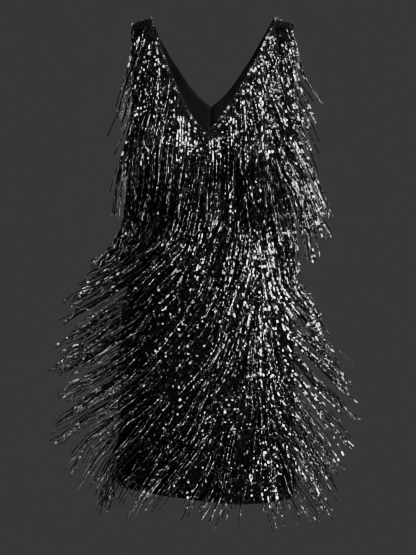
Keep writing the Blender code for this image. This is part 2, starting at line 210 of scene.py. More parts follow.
# Swing of the fringe in degrees from straight down, positive towards +X, by the height of its root and by
# the share of the half width: left edge, half way, centre, half way, right edge
SWING_SHARES = (-1.0, -0.5, 0.0, 0.5, 1.0)
SWING = (
    (0.000, -8.0, -6.0, 0.0, 10.0, 17.0),
    (-0.090, -17.0, -9.0, -1.0, 12.0, 28.0),
    (-0.150, -18.0, -8.0, -1.0, 10.0, 29.0),
    (-0.222, -9.0, -6.0, -3.0, 4.0, 24.0),
    (-0.292, -4.0, -14.0, -8.0, 1.0, 20.0),
    (-0.325, -9.0, -25.0, -14.0, -1.0, 16.0),
    (-0.362, -42.0, -36.0, -21.0, -8.0, 9.0),
    (-0.400, -50.0, -38.0, -23.0, -10.0, 14.0),
    (-0.432, -55.0, -40.0, -25.0, -11.0, 28.0),
    (-0.502, -59.0, -44.0, -30.0, -11.0, 36.0),
    (-0.642, -59.0, -44.0, -31.0, -7.0, 43.0),
    (-0.712, -53.0, -42.0, -29.0, -3.0, 38.0),
    (-0.772, -30.0, -46.0, -30.0, -4.0, 30.0),
    (-0.900, -14.0, -28.0, -14.0, 0.0, 22.0),
)
SWING_FOLLOWS = 0.45
SWING_AT_ROOT = 0.75
LENGTH_LEAN = 0.06

# How far strings stand off the cloth, and how those past the sides spread in depth
STRING_RAMP = 0.060
STRING_TIP_LIFT = 0.010
STRING_FALL_BACK = 0.12
STRAIGHT_SHARE = 0.82
FLUNG_SHARE = 0.94
FLUNG_ANGLE = math.radians(60)
SWING_EARLY = 1.5
STRING_LIFT = 0.005
LEAST_SHARE = 0.05
ROOT_SHARE_MOST = 0.995
PAST_TIP = 1.3
SPREAD_MOST = 0.992
SPREAD_FROM = 0.6
SPREAD_OVER = 0.3

# Where the strings of a thinned row gather: shares of the half width with their weights, how far down that
# holds, the lengths and the size of its swells, and its random part
CROWDS = ((-1.0, -0.75, -0.45, 0.05, 0.45, 1.0), (1.0, 0.9, -0.25, -0.25, 0.6, 0.7))
CROWDS_TO = -0.70
CROWD_WAVES = (0.050, 0.090)
CROWD_SWELL = 0.6
CROWD_SPREAD = 0.35

# How strings differ from their neighbours. Strays are shares of the spacing of strings or of clumps
STRING_END_ROOM = 0.001
STRING_STRAY = 0.12
STRING_PHASE = (0.3, 0.7)
CLUMP_STRAY = 0.22
CLUMP_PULLS = (0.3, 1.0)
STRAY_ANGLE = math.radians(9)
SIDE_LOOSENESS = 1.5
BEND_LOOSENESS = 1.5
SHORT_POWER = 1.5

# Beads: how far they sit off their line, how far they twist on it, and the share of their length between them
BEAD_WOBBLE = 0.00012
BEAD_TWIST = math.radians(10)
BEAD_TRIM = 0.02

# Material slots of the fringe and of the sequins
TAPE, BUGLES, SEEDS, SILVERY = range(4)
SEQUINS, MIRRORS, STUDS = range(3)

# Stitches: distance apart, length, radius
STITCH_PITCH = 0.0034
STITCH_LENGTH = 0.0022
STITCH_RADIUS = 0.00022
NECK_STITCH_INSET = 0.0045
SEAM_STITCH_INSET = 0.0030
STITCH_FOOT_ROOM = 0.004
STITCH_TOP_ROOM = 0.006
STITCH_LINE_STEPS = 80

# The centre seam of the lining
SEAM_RADIUS = 0.0009
SEAM_SIDES = 6
SEAM_END_ROOM = 0.001
SEAM_STEPS = 60

# Rows over which a panel's widest one is sought, and the ease on its length
CUT_ROWS = 30
CUT_LENGTH_EASE = 1.01

# Swells in the swing that neighbours share: their lengths across and down, their phase, their degrees
SWELLS = (
    (0.125, 0.260, 0.4, 3.6),
    (0.071, -0.340, 1.9, 2.8),
    (0.041, 0.150, 4.3, 1.8),
    (0.260, -0.120, 2.6, 3.0),
)
SEED = 11

# Bands of a wave texture in one unit of its scale
BANDS_PER_UNIT = 3.2

# Sequins: corners of the outline, lean of the scales, depth of the cup, how far they stand off the cloth and
# off a tape, how far they stray as shares of their spacing, and the room that they leave at hem and seams
SEQUIN_CORNERS = 6
SEQUIN_LEAN = math.radians(7)
SEQUIN_CUP = 0.03
SEQUIN_LIFT = 0.0006
SEQUIN_OVER_TAPE = 0.0005
SEQUIN_STRAY_ALONG = 0.06
SEQUIN_STRAY_UP = 0.05
SEQUIN_SIZES = (0.92, 1.06)
ROW_STAGGER = 0.5
ROW_SHIFT = 0.25
HEM_LIMIT = 0.001
TOP_LIMIT = 0.0002
HEM_ROOM = 0.0022
SEAM_ROOM = 0.0021

# The row of sequins along the openings, and the studs that hold it down
EDGE_ROW_INSET = 0.0024
EDGE_ROW_ROOM = 0.0066
EDGE_ROW_SPACING = 0.95
EDGE_ROW_LIFT = 0.0011
EDGE_ROW_FOOT = 0.002
EDGE_PROBE = 0.01
STUD_CORNERS = 5
STUD_LIFT = 0.0022
STUD_RADIUS = 0.0012
STUD_HEIGHT = 0.9
STUD_FACES = np.array(
    [(0, 2 + j, 2 + (j + 1) % STUD_CORNERS) for j in range(STUD_CORNERS)]
    + [(1, 2 + (j + 1) % STUD_CORNERS, 2 + j) for j in range(STUD_CORNERS)]
)

# The camera: focal length and sensor in millimetres, and its place
VIEW_LENS = 124.7
VIEW_SENSOR = 36.0
VIEW_PLACE = (0.0, -3.5, -0.4685)

# The floor that a wearer would stand on. Lamps: name, place, aim, width, height, spread in degrees, power
FLOOR = -1.380
FLOOR_CORNERS = 96
FLOOR_RINGS = (0.5, 2.6)
LAMPS = (
    ("key", (2.5, -1.15, 0.64), (0.14, 0.0, -0.28), 0.45, 1.60, 42, 38.0),
    ("chest", (-0.8, -2.4, 0.9), (-0.06, 0.0, -0.22), 0.45, 0.90, 24, 2.8),
    ("front", (0.3, -3.3, 0.6), (0.0, 0.0, -0.45), 0.50, 0.50, 180, 4.0),
    ("fill", (-2.0, -2.2, 0.1), (0.0, 0.0, -0.50), 0.40, 1.20, 180, 8.0),
    ("low", (1.6, -2.3, -0.9), (0.02, 0.0, -0.36), 0.50, 0.50, 180, 9.0),
    ("top", (1.1, -1.5, 1.40), (0.08, 0.0, -0.22), 0.90, 0.90, 46, 12.0),
    ("side", (2.3, 0.3, 0.0), (0.1, 0.0, -0.50), 0.45, 1.20, 180, 8.0),
    ("back", (0.0, 3.0, -0.30), (0.0, 0.0, -0.50), 0.80, 0.80, 180, 14.0),
)


def curve_of(rows, column):
    """A smooth function through one column of a table. The table's first column runs downwards."""
    stops = np.array([row[0] for row in rows])[::-1]
    values = np.array([row[column] for row in rows])[::-1]
    slopes = np.gradient(values, stops)

    def at(place):
        p = np.clip(place, stops[0], stops[-1])
        i = np.clip(np.searchsorted(stops, p) - 1, 0, len(stops) - 2)
        span = stops[i + 1] - stops[i]
        t = (p - stops[i]) / span
        near = (1 + 2 * t) * (1 - t) ** 2 * values[i] + t**2 * (3 - 2 * t) * values[i + 1]
        return near + span * t * (1 - t) * ((1 - t) * slopes[i] - t * slopes[i + 1])

    return at


section_centre = curve_of(SECTIONS, 1)
section_half = curve_of(SECTIONS, 2)
section_depth = {FRONT: curve_of(SECTIONS, 3), BACK: curve_of(SECTIONS, 4)}
armhole_half = curve_of(OPENING_EDGES, 1)
neck_half = {FRONT: curve_of(OPENING_EDGES, 2), BACK: curve_of(OPENING_EDGES, 3)}
hem_rise = curve_of(HEM_SLANT, 1)
swing_curves = [curve_of(SWING, column) for column in range(1, len(SWING_SHARES) + 1)]


def shoulder_share(height):
    """The share of the full depth at a height: 0 on top of the shoulder and 1 below its roll."""
    down = np.minimum(-height / SHOULDER_ROLL, 1.0)
    return np.sqrt(np.maximum(0.0, 1.0 - (1.0 - down) ** 2))


def full_depth(side, height):
    return section_depth[side](height) * shoulder_share(height)


def side_share(x, height):
    """Where x lies across the dress: -1 at the -X side seam and 1 at the +X one."""
    return (x - section_centre(height)) / section_half(height)


def cup(side, x, height):
    """How far the bust cups push the front panel out."""
    if side == BACK:
        return np.zeros_like(x)
    down = (height - CUP_HEIGHT) / CUP_LENGTH
    across = [(x - section_centre(height) - way * CUP_APEX_X) / CUP_WIDTH for way in (LEFT, RIGHT)]
    return CUP_RISE * sum(np.exp(-a * a - down * down) for a in across)


def height_shift(x, height):
    """The drop of the shoulder towards the armhole, and the slant of the hem."""
    neck_end, arm_end = neck_half[FRONT](0.0), armhole_half(0.0)
    from_neck = np.clip((np.abs(x - ARMHOLE_CENTRE) - neck_end) / (arm_end - neck_end), 0.0, 1.0)
    fade = np.maximum(0.0, 1.0 + height / SHOULDER_DROP_FADE)
    low = np.maximum(0.0, (HEM_SLANT_FROM - height) / (HEM_SLANT_FROM - HEM))
    return SHOULDER_SEAT - SHOULDER_DROP * from_neck * fade + hem_rise(side_share(x, height)) * low**2


def body_point(side, angle, height):
    """Points on the dress. The angle is 0 at the -X side seam and pi at the +X side seam."""
    power = 2.0 / SQUARENESS
    cos, sin = np.cos(angle), np.maximum(np.sin(angle), 0.0)
    x = section_centre(height) - section_half(height) * np.copysign(np.abs(cos) ** power, cos)
    y = side * (full_depth(side, height) * sin**power + cup(side, x, height))
    return np.stack((x, y, height + height_shift(x, height)), -1)


def unit(vectors):
    return vectors / np.maximum(np.linalg.norm(vectors, axis=-1, keepdims=True), 1e-12)


def outward(side, angle, height):
    """The unit normal of the cloth's outer face."""
    da, dh = 1e-3, 5e-4
    a0, a1 = np.maximum(angle - da, 1e-6), np.minimum(angle + da, math.pi - 1e-6)
    h0, h1 = np.minimum(height + dh, -1e-6), np.maximum(height - dh, HEM)
    along = body_point(side, a1, height) - body_point(side, a0, height)
    down = body_point(side, angle, h1) - body_point(side, angle, h0)
    return unit(np.cross(along, down) * side)


def crease_depth(side, x, height):
    """How deep the creases are at a place."""
    depth = np.zeros_like(x)
    for crease_side, middle, level, half, turn, width, deep in CREASES:
        if crease_side == side:
            c, s = math.cos(math.radians(turn)), math.sin(math.radians(turn))
            dx, dz = x - middle, height - level
            along, across = (dx * c + dz * s) / half, (dz * c - dx * s) / width
            depth += deep * np.exp(-(along**4) - across**2)
    return depth


def cloth_point(side, angle, height, lift=0.0):
    """Points on the creased cloth, moved out by a lift."""
    angle, height = np.broadcast_arrays(np.asarray(angle, float), np.asarray(height, float))
    point = body_point(side, angle, height)
    out = lift - crease_depth(side, point[..., 0], height)
    return point + np.asarray(out)[..., None] * outward(side, angle, height)


def angle_at(x, height):
    """The angle at which a section reaches x."""
    share = np.clip(-side_share(x, height), -1.0, 1.0)
    return np.arccos(np.copysign(np.abs(share) ** (SQUARENESS / 2.0), share))


def outer_angle(side, way, height):
    """A panel's outer edge: the side seam below the chest, and the armhole above it."""
    gap = SEAM_GAP / 2 / np.maximum(full_depth(side, height), SEAM_GAP)
    seam = np.arcsin(gap ** (SQUARENESS / 2.0))
    seam = seam if way == LEFT else math.pi - seam
    return np.where(height <= CHEST, seam, angle_at(ARMHOLE_CENTRE + way * armhole_half(height), height))


def inner_angle(side, way, height, split):
    """A panel's inner edge: the neckline, and below it the middle or, on split panels, the centre seam."""
    point = CHEST if side == FRONT else BACK_V
    lean = FRONT_NECK_CENTRE_TOP + FRONT_NECK_LEAN * height if side == FRONT else BACK_NECK_CENTRE
    foot_lean = FRONT_NECK_CENTRE_TOP + FRONT_NECK_LEAN * point if side == FRONT else BACK_NECK_CENTRE
    below = np.clip((point - height) / (point - HEM), 0.0, 1.0)
    middle = section_centre(height) + (foot_lean - section_centre(point)) * (1.0 - below) ** 3
    middle = np.where(height >= point, lean, middle)
    half = np.where(height > point, neck_half[side](height), 0.0)
    half = np.maximum(half, SEAM_GAP / 2 if split else 0.0)
    return angle_at(middle + way * half, height)


def shell_heights(side, foot):
    """Heights of a fine shell's rows, from its foot up over the shoulder's roll."""
    point = CHEST if side == FRONT else BACK_V
    stops = sorted({foot, CHEST, point, -SHOULDER_ROLL})
    heights = []
    for low, high in zip(stops, stops[1:]):
        count = max(2, round((high - low) / SHELL_STEP))
        heights += list(np.linspace(low, high, count, endpoint=False))
    share = SEAM_GAP / 2 / section_depth[side](0.0)
    top = -SHOULDER_ROLL * (1.0 - math.sqrt(1.0 - share * share))
    turns = np.linspace(math.pi / 2, 0.0, ROLL_ROWS + 1)[:-1]
    roll = -SHOULDER_ROLL * (1.0 - np.cos(turns))
    return np.array(heights + list(roll) + [top])


def half_grid(side, way, split, heights):
    """Angles and heights of one half of a panel, a row for each height, from its outer edge to its inner."""
    a, b = outer_angle(side, way, heights), inner_angle(side, way, heights, split)
    across = np.linspace(0.0, 1.0, SHELL_COLUMNS + 1)
    angles = a[:, None] + (b - a)[:, None] * across
    return angles, np.repeat(heights[:, None], SHELL_COLUMNS + 1, axis=1)


def mesh_object(name, points, faces, corners, materials, slots=None, smooth=True):
    """An object from points and equal-sided faces, given as one array each."""
    mesh = bpy.data.meshes.new(name)
    points, faces = np.asarray(points, np.float32), np.asarray(faces, np.int32)
    mesh.vertices.add(len(points))
    mesh.vertices.foreach_set("co", points.ravel())
    mesh.loops.add(faces.size)
    mesh.loops.foreach_set("vertex_index", faces.ravel())
    mesh.polygons.add(len(faces))
    mesh.polygons.foreach_set("loop_start", np.arange(0, faces.size, corners, dtype=np.int32))
    for material in materials:
        mesh.materials.append(material)
    if slots is not None:
        mesh.polygons.foreach_set("material_index", np.asarray(slots, np.int32))
    mesh.polygons.foreach_set("use_smooth", np.full(len(faces), smooth))
    mesh.update(calc_edges=True)
    mesh.validate()
    thing = bpy.data.objects.new(name, mesh)
    bpy.context.scene.collection.objects.link(thing)
    return thing


def settle(piece, slot, *nodes):
    """Rides a piece on the dress and lets it stand for its solids. Its slot is not used."""
    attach(piece, "root")
    if nodes:
        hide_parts(*nodes)


class Signal:
    """A shader value. Used in an expression, it adds the Math nodes that work the expression out."""

    def __init__(self, tree, socket):
        self.tree = tree
        self.socket = socket

    def maths(self, operation, other):
        node = self.tree.nodes.new("ShaderNodeMath")
        node.operation = operation
        for put, value in zip(node.inputs, (self, other)):
            join(self.tree, put, value)
        return Signal(self.tree, node.outputs[0])

    def __add__(self, other):
        return self.maths("ADD", other)

    def __mul__(self, other):
        return self.maths("MULTIPLY", other)

    __radd__ = __add__
    __rmul__ = __mul__


def join(tree, put, value):
    """Links a value to a socket, or sets the socket to a plain number or colour."""
    if isinstance(value, Signal):
        tree.links.new(value.socket, put)
    else:
        put.default_value = value


class Finish:
    """A material in the making, with one way to add any node."""

    def __init__(self, name, colour, roughness, metallic=0.0, **shader_values):
        self.material = bpy.data.materials.new(name)
        self.material.use_nodes = True
        self.tree = self.material.node_tree
        self.shader = self.tree.nodes["Principled BSDF"]
        self.shader.inputs["Base Color"].default_value = (*colour, 1.0)
        self.shader.inputs["Roughness"].default_value = roughness
        self.shader.inputs["Metallic"].default_value = metallic
        for socket, value in shader_values.items():
            self.shader.inputs[socket.replace("_", " ")].default_value = value

    def node(self, kind, settings=None, output=0, **inputs):
        """Adds a node, makes its settings first, then fills its sockets, and gives one output.

        A socket goes by its name, or by its number after one letter.
        """
        node = self.tree.nodes.new(kind)
        for setting, value in (settings or {}).items():
            setattr(node, setting, value)
        for socket, value in inputs.items():
            key = int(socket[1:]) if socket[1:].isdigit() else socket.replace("_", " ")
            join(self.tree, node.inputs[key], value)
        return Signal(self.tree, node.outputs[output])

    def place(self, scale=(1.0, 1.0, 1.0)):
        """The object's own coordinates, stretched."""
        where = self.node("ShaderNodeTexCoord", output="Object")
        return self.node("ShaderNodeMapping", {"vector_type": "POINT"}, Vector=where, Scale=scale)

    def grain(self, size, scale=(1.0, 1.0, 1.0), detail=2.0):
        """Noise from 0 to 1 with spots of a size in metres."""
        return self.node("ShaderNodeTexNoise", Vector=self.place(scale), Scale=1.0 / size, Detail=detail)

    def ribs(self, size, axis):
        """Sine ribs of a width in metres along an axis."""
        bands = {"wave_type": "BANDS", "bands_direction": axis}
        scale = 1.0 / size / BANDS_PER_UNIT
        return self.node("ShaderNodeTexWave", bands, output="Fac", Vector=self.place(), Scale=scale)

    def by_island(self):
        """A random value for each bead or sequin."""
        return self.node("ShaderNodeNewGeometry", output="Random Per Island")

    def mix(self, share, dark, light):
        """A colour between two others."""
        settings = {"data_type": "RGBA"}
        return self.node("ShaderNodeMix", settings, 2, i0=share, i6=(*dark, 1.0), i7=(*light, 1.0))

    def feed(self, socket, value):
        join(self.tree, self.shader.inputs[socket], value)

    def raise_by(self, height, distance):
        """Bumps the surface by a height from 0 to 1 of a distance in metres."""
        bump = self.node("ShaderNodeBump", Height=height, Distance=distance, Strength=1.0)
        self.feed("Normal", bump)


def knit_finish():
    """The black knit that the sequins are sewn on."""
    knit = Finish("ground_knit", (0.0015, 0.0015, 0.0016), 0.80, Specular_IOR_Level=0.1)
    stitches = knit.ribs(0.0009, "X") * knit.ribs(0.0007, "Z")
    wear = knit.grain(0.020)
    knit.feed("Base Color", knit.mix(wear, (0.0010, 0.0010, 0.0011), (0.0022, 0.0021, 0.0022)))
    knit.feed("Roughness", 0.70 + wear * 0.2)
    knit.raise_by(stitches, 0.0004)
    return knit.material


def backing_finish():
    """The matte inner side of the cloth."""
    backing = Finish("knit_backing", (0.007, 0.0065, 0.007), 0.85, Specular_IOR_Level=0.15)
    loops = backing.ribs(0.0011, "Z") * 0.6 + backing.grain(0.0012) * 0.4
    tone = backing.grain(0.030, detail=4.0)
    backing.feed("Base Color", backing.mix(tone, (0.004, 0.004, 0.0045), (0.010, 0.0095, 0.010)))
    backing.feed("Roughness", 0.78 + tone * 0.15)
    backing.raise_by(loops, 0.0003)
    return backing.material


def lining_painted_shade_finish():
    """Plain-woven matte lining: black, with its colour darkened below the knit's as painted shade of the
    inside of the dress.
    """
    # The lining's colours are painted shade: a black lining made darker still to stand for the shade inside
    # the dress.
    lining = Finish("lining_with_painted_shade", (0.0004, 0.0004, 0.0004), 0.70, Specular_IOR_Level=0.03)
    weave = lining.ribs(0.00055, "X") * 0.5 + lining.ribs(0.00050, "Z") * 0.5
    soft = lining.grain(0.045, detail=3.0)
    lining.feed("Base Color", lining.mix(soft, (0.00025, 0.00023, 0.00025), (0.0007, 0.00065, 0.0007)))
    lining.feed("Roughness", 0.56 + soft * 0.14)
    lining.raise_by(weave * 0.6 + soft * 0.4, 0.0004)
    return lining.material


def tape_finish(name, shade):
    """Woven heading tape and edge binding."""
    tape = Finish(name, (shade, shade, shade), 0.75, Specular_IOR_Level=0.06)
    cross = tape.ribs(0.0006, "Z")
    tone = tape.grain(0.008)
    tape.feed("Base Color", tape.mix(tone, (shade * 0.6,) * 3, (shade * 1.6,) * 3))
    tape.feed("Roughness", 0.65 + tone * 0.2)
    tape.raise_by(cross, 0.0002)
    return tape.material


def sequin_finish(name, dark, light, polish, metallic):
    """Glossy plastic sequins, each with its own shade, gloss and fine scratches."""
    sequin = Finish(name, dark, polish, metallic, Specular_IOR_Level=0.30)
    own = sequin.by_island()
    rub = sequin.grain(0.0018, detail=3.0)
    sequin.feed("Base Color", sequin.mix(own, dark, light))
    sequin.feed("Roughness", polish + own * 0.03 + rub * 0.03)
    sequin.raise_by(sequin.grain(0.0040), 0.00006)
    return sequin.material


def bead_finish(name, dark, light, polish, metallic):
    """Glass beads, each with its own shade and gloss."""
    bead = Finish(name, dark, polish, metallic, Specular_IOR_Level=0.5)
    own = bead.by_island()
    twist = bead.grain(0.0012, scale=(1.0, 1.0, 0.25), detail=1.0)
    bead.feed("Base Color", bead.mix(own * own, dark, light))
    bead.feed("Roughness", polish + own * 0.04 + twist * 0.03)
    bead.raise_by(twist, 0.00015)
    return bead.material


def thread_finish():
    """The dark thread of the stitches."""
    thread = Finish("black_thread", (0.002, 0.002, 0.002), 0.6, Specular_IOR_Level=0.1)
    ply = thread.ribs(0.0004, "X")
    thread.feed("Base Color", thread.mix(ply, (0.0012, 0.0012, 0.0013), (0.0030, 0.0030, 0.0032)))
    thread.raise_by(ply, 0.0001)
    return thread.material


def floor_finish(colour):
    """A plain pale floor with a faint unevenness."""
    floor = Finish("pale_floor", colour, 0.75)
    patch = floor.grain(0.9, detail=3.0)
    darker = tuple(c * 0.96 for c in colour)
    floor.feed("Base Color", floor.mix(patch, darker, colour))
    floor.feed("Roughness", 0.70 + patch * 0.1)
    return floor.material


def shell_object(name, side, halves, foot, lift, wall, outer, inner):
    """A thin shell of cloth over one or two halves of a panel: outer face first, then inner and edges."""
    heights = shell_heights(side, foot)
    points, faces, start = [], [], 0
    for way, split in halves:
        angles, levels = half_grid(side, way, split, heights)
        points.append(cloth_point(side, angles, levels, lift).reshape(-1, 3))
        rows, columns = angles.shape
        low = (np.arange(rows - 1)[:, None] * columns + np.arange(columns - 1)).ravel() + start
        ring = np.stack((low, low + 1, low + columns + 1, low + columns), 1)
        faces_out = (side == FRONT) == (way == LEFT)
        faces.append(ring if faces_out else ring[:, ::-1])
        start += rows * columns
    piece = mesh_object(name, np.concatenate(points), np.concatenate(faces), 4, [outer, inner])
    weld = piece.modifiers.new("weld", "WELD")
    weld.merge_threshold = WELD_REACH
    thick = piece.modifiers.new("wall", "SOLIDIFY")
    thick.thickness = wall
    thick.offset = -1.0
    thick.use_even_offset = False
    thick.material_offset = 1
    apply_modifiers(piece)
    return piece


def apply_modifiers(piece):
    """Turns a piece's modifiers into its mesh."""
    bpy.context.view_layer.update()
    shaped = bpy.data.meshes.new_from_object(piece.evaluated_get(bpy.context.evaluated_depsgraph_get()))
    piece.modifiers.clear()
    old, piece.data = piece.data, shaped
    bpy.data.meshes.remove(old)


def edge_cord(name, lines, radius, sides, material):
    """Rolled edges: a round cord along each line of points."""
    points, faces, start = [], [], 0
    for line, closed in lines:
        ahead = np.roll(line, -1, 0) - np.roll(line, 1, 0)
        if not closed:
            ahead[0], ahead[-1] = line[1] - line[0], line[-1] - line[-2]
        ahead = unit(ahead)
        across = unit(np.cross(ahead, np.array((0.31, 0.17, 0.93))))
        up = np.cross(ahead, across)
        turns = np.linspace(0, 2 * math.pi, sides, endpoint=False)
        ring = np.cos(turns)[None, :, None] * across[:, None] + np.sin(turns)[None, :, None] * up[:, None]
        points.append((line[:, None] + radius * ring).reshape(-1, 3))
        count = len(line)
        i = np.arange(count if closed else count - 1)[:, None]
        j = np.arange(sides)[None, :]
        k, n = (i + 1) % count, (j + 1) % sides
        quads = np.stack((i * sides + j, i * sides + n, k * sides + n, k * sides + j), -1).reshape(-1, 4)
        faces.append(quads + start)
        start += count * sides
    return mesh_object(name, np.concatenate(points), np.concatenate(faces), 4, [material])


def even_heights(side, step, foot, margin):
    """Heights for rows of sequins an even distance apart up the cloth, the shoulder's roll too."""
    heights = np.concatenate((np.linspace(foot, -SHOULDER_ROLL, BODY_STEPS), roll_heights(ROLL_STEPS)))
    middle = (outer_angle(side, RIGHT, heights) + inner_angle(side, RIGHT, heights, False)) / 2
    run = walked(body_point(side, middle, heights))
    count = int((run[-1] - 2 * margin) / step)
    return np.interp(margin + step * np.arange(count + 1), run, heights)


def roll_heights(count):
    turns = np.linspace(math.pi / 2, ROLL_END, count)[1:]
    return -SHOULDER_ROLL * (1.0 - np.cos(turns))


def walked(line):
    """How far along a line each of its points lies."""
    return np.concatenate(([0.0], np.cumsum(np.linalg.norm(np.diff(line, axis=0), axis=1))))


def row_places(side, ways, height, margin):
    """Angles along a level row over one or both halves, and how far along it each lies."""
    if len(ways) == 2:
        ends = outer_angle(side, LEFT, height), outer_angle(side, RIGHT, height)
    else:
        ends = sorted((outer_angle(side, ways[0], height), inner_angle(side, ways[0], height, False)))
    angles = np.linspace(float(ends[0]), float(ends[1]), ROW_STEPS)
    run = walked(cloth_point(side, angles, height))
    return angles, run, margin, run[-1] - margin


def sequin_places(side, ways, pitch, step, dice):
    """Angles and heights of a panel's sequins, in staggered rows, clear of the row along the openings."""
    angles, heights = [], []
    point = CHEST if side == FRONT else BACK_V
    split = side == BACK
    for k, height in enumerate(even_heights(side, step, HEM, HEM_ROOM)):
        stretches = [(outer_angle(side, way, height), inner_angle(side, way, height, split)) for way in ways]
        if len(ways) == 2 and height <= point:
            stretches = [(outer_angle(side, LEFT, height), outer_angle(side, RIGHT, height))]
        for a, b in stretches:
            line = np.linspace(float(a), float(b), SEQUIN_ROW_STEPS)
            run = walked(body_point(side, line, height))
            first = EDGE_ROW_ROOM if height > CHEST else SEAM_ROOM
            last = run[-1] - (EDGE_ROW_ROOM if height > point else 0.0 if side == FRONT else SEAM_ROOM)
            count = int((last - first) / pitch)
            if count < 1:
                continue
            stagger = ROW_STAGGER if k % 2 else 0.0
            own = first + (last - first) * (np.arange(count) + stagger + ROW_SHIFT) / count
            own = own + dice.normal(0, pitch * SEQUIN_STRAY_ALONG, count)
            angles.append(np.interp(np.clip(own, first, last), run, line))
            heights.append(np.full(count, height) + dice.normal(0, step * SEQUIN_STRAY_UP, count))
    return np.concatenate(angles), np.clip(np.concatenate(heights), HEM + HEM_LIMIT, -TOP_LIMIT)


def edge_places(side, way, edge, pitch):
    """Angles and heights of one row of sequins along a neckline or an armhole."""
    point = CHEST if side == FRONT or edge == "armhole" else BACK_V
    heights = edge_heights(point + EDGE_ROW_FOOT)
    if edge == "neck":
        angles, inward = inner_angle(side, way, heights, False), way
    else:
        angles, inward = outer_angle(side, way, heights), -way
    line = cloth_point(side, angles, heights)
    nearby = cloth_point(side, angles + inward * EDGE_PROBE, heights)
    angles = angles + inward * EDGE_PROBE * EDGE_ROW_INSET / np.linalg.norm(nearby - line, axis=1)
    run = walked(line)
    own = np.arange(pitch / 2, run[-1], pitch)
    return np.interp(own, run, angles), np.interp(own, run, heights)


def sequin_lot(side, angles, heights, lift, radius, tilt_spread, dice):
    """Cupped round sequins that lie on the cloth like scales, each turned a little its own way."""
    count = len(angles)
    centre = cloth_point(side, angles, heights, lift)
    out = outward(side, angles, heights)
    level = unit(np.cross(out, np.array((0.0, 0.0, 1.0))) + 1e-9)
    rise = np.cross(level, out)
    tilt = dice.normal(0, tilt_spread, (count, 2))
    face = unit(out + tilt[:, :1] * level + (tilt[:, 1:] + SEQUIN_LEAN) * rise)
    spin = dice.uniform(0, 2 * math.pi, count)[:, None, None]
    one = unit(np.cross(face, rise))
    two = np.cross(face, one)
    turns = np.linspace(0, 2 * math.pi, SEQUIN_CORNERS, endpoint=False)[None, :, None] + spin
    size = radius * dice.uniform(*SEQUIN_SIZES, count)[:, None, None]
    rim = centre[:, None] + size * (np.cos(turns) * one[:, None] + np.sin(turns) * two[:, None])
    middle = centre - face * size[:, 0] * SEQUIN_CUP
    points = np.concatenate((middle[:, None], rim), 1).reshape(-1, 3)
    base = np.arange(count)[:, None] * (SEQUIN_CORNERS + 1)
    j = np.arange(SEQUIN_CORNERS)[None, :]
    near, far = base + 1 + j, base + 1 + (j + 1) % SEQUIN_CORNERS
    return points, np.stack((np.broadcast_to(base, near.shape), near, far), -1).reshape(-1, 3)


def stud_lot(side, angles, heights):
    """Small faceted beads that hold the sequins of a row down."""
    centre = cloth_point(side, angles, heights, STUD_LIFT)
    out = unit(outward(side, angles, heights))
    across = unit(np.cross(out, np.broadcast_to((0.12, 0.21, 0.97), out.shape)))
    up = np.cross(out, across)
    turns = 2 * math.pi * np.arange(STUD_CORNERS)[None, :, None] / STUD_CORNERS
    ring = centre[:, None] + STUD_RADIUS * (np.cos(turns) * across[:, None] + np.sin(turns) * up[:, None])
    peak = STUD_RADIUS * STUD_HEIGHT * out
    points = np.concatenate(((centre + peak)[:, None], (centre - peak)[:, None], ring), 1)
    faces = STUD_FACES[None] + (STUD_CORNERS + 2) * np.arange(len(centre))[:, None, None]
    return points.reshape(-1, 3), faces.reshape(-1, 3)


def swing_at(x, root_height, height):
    """The swing in radians of strings that hang from one height and have reached another."""
    felt = root_height + SWING_FOLLOWS * (height - root_height)
    angles = np.stack([curve(felt) for curve in swing_curves])
    place = np.clip((side_share(x, height) + 1.0) * 2.0, 0.0, 3.9999)
    i = place.astype(int)
    t = place - i
    columns = np.arange(len(x))
    swing = angles[i, columns] * (1 - t) + angles[i + 1, columns] * t
    for across, down, phase, degrees in SWELLS:
        swing = swing + degrees * np.sin(2 * math.pi * (x / across + height / down) + phase)
    return np.radians(swing)


def hung_depth(side, x, height, lift, root_share, aim_share, gone):
    """How far in front of the side seams strings hang: over the body, and clear of it past its sides."""
    centre, depth = section_centre(height), full_depth(side, height)
    target = root_share + (aim_share - root_share) * np.minimum(1.0, SWING_EARLY * gone)
    reach = np.maximum(section_half(height) + lift, np.abs(x - centre) / np.maximum(target, LEAST_SHARE))
    share = np.minimum(np.abs(x - centre) / reach, 1.0)
    return (depth + lift) * (1.0 - share**SQUARENESS) ** (1.0 / SQUARENESS) + cup(side, x, height)


def string_paths(side, start, root_height, length, step, turn, bend, lift, spread):
    """Points a step apart down each string of a row."""
    x, z = start[:, 0].copy(), start[:, 2].copy()
    root = np.full_like(x, root_height)
    root_share = np.minimum(np.abs(side_share(x, root)), ROOT_SHARE_MOST)
    points, depth = [start], np.abs(start[:, 1])
    done = 0.0
    for _ in range(int(float(length.max()) / step)):
        gone = np.minimum((done + step / 2) / length, PAST_TIP)
        grown = SWING_AT_ROOT + (1.0 - SWING_AT_ROOT) * np.minimum(1.0, 2.0 * gone)
        felt = swing_at(x, root, z)
        angle = grown * felt + turn + bend * gone**2
        x, z = x + np.sin(angle) * step, z - np.cos(angle) * step
        done += step
        gone = np.minimum(done / length, PAST_TIP)
        stand = (
            TAPE_LIFT + TAPE_THICK / 2 + STRING_RAMP * length * gone
            + STRING_TIP_LIFT * gone**2 + lift * gone
        )
        flung = np.minimum(1.0, np.abs(felt) / FLUNG_ANGLE)
        aim = STRAIGHT_SHARE + (FLUNG_SHARE - STRAIGHT_SHARE) * flung
        near_side = np.clip((root_share - SPREAD_FROM) / SPREAD_OVER, 0.0, 1.0)
        aim = aim + spread * (SPREAD_MOST - aim) * near_side
        here = hung_depth(side, x, np.maximum(z - SHOULDER_SEAT, HEM), stand, root_share, aim, gone)
        depth = np.maximum(here, depth - STRING_FALL_BACK * step)
        points.append(np.stack((x, side * depth, z), 1))
    return np.stack(points)


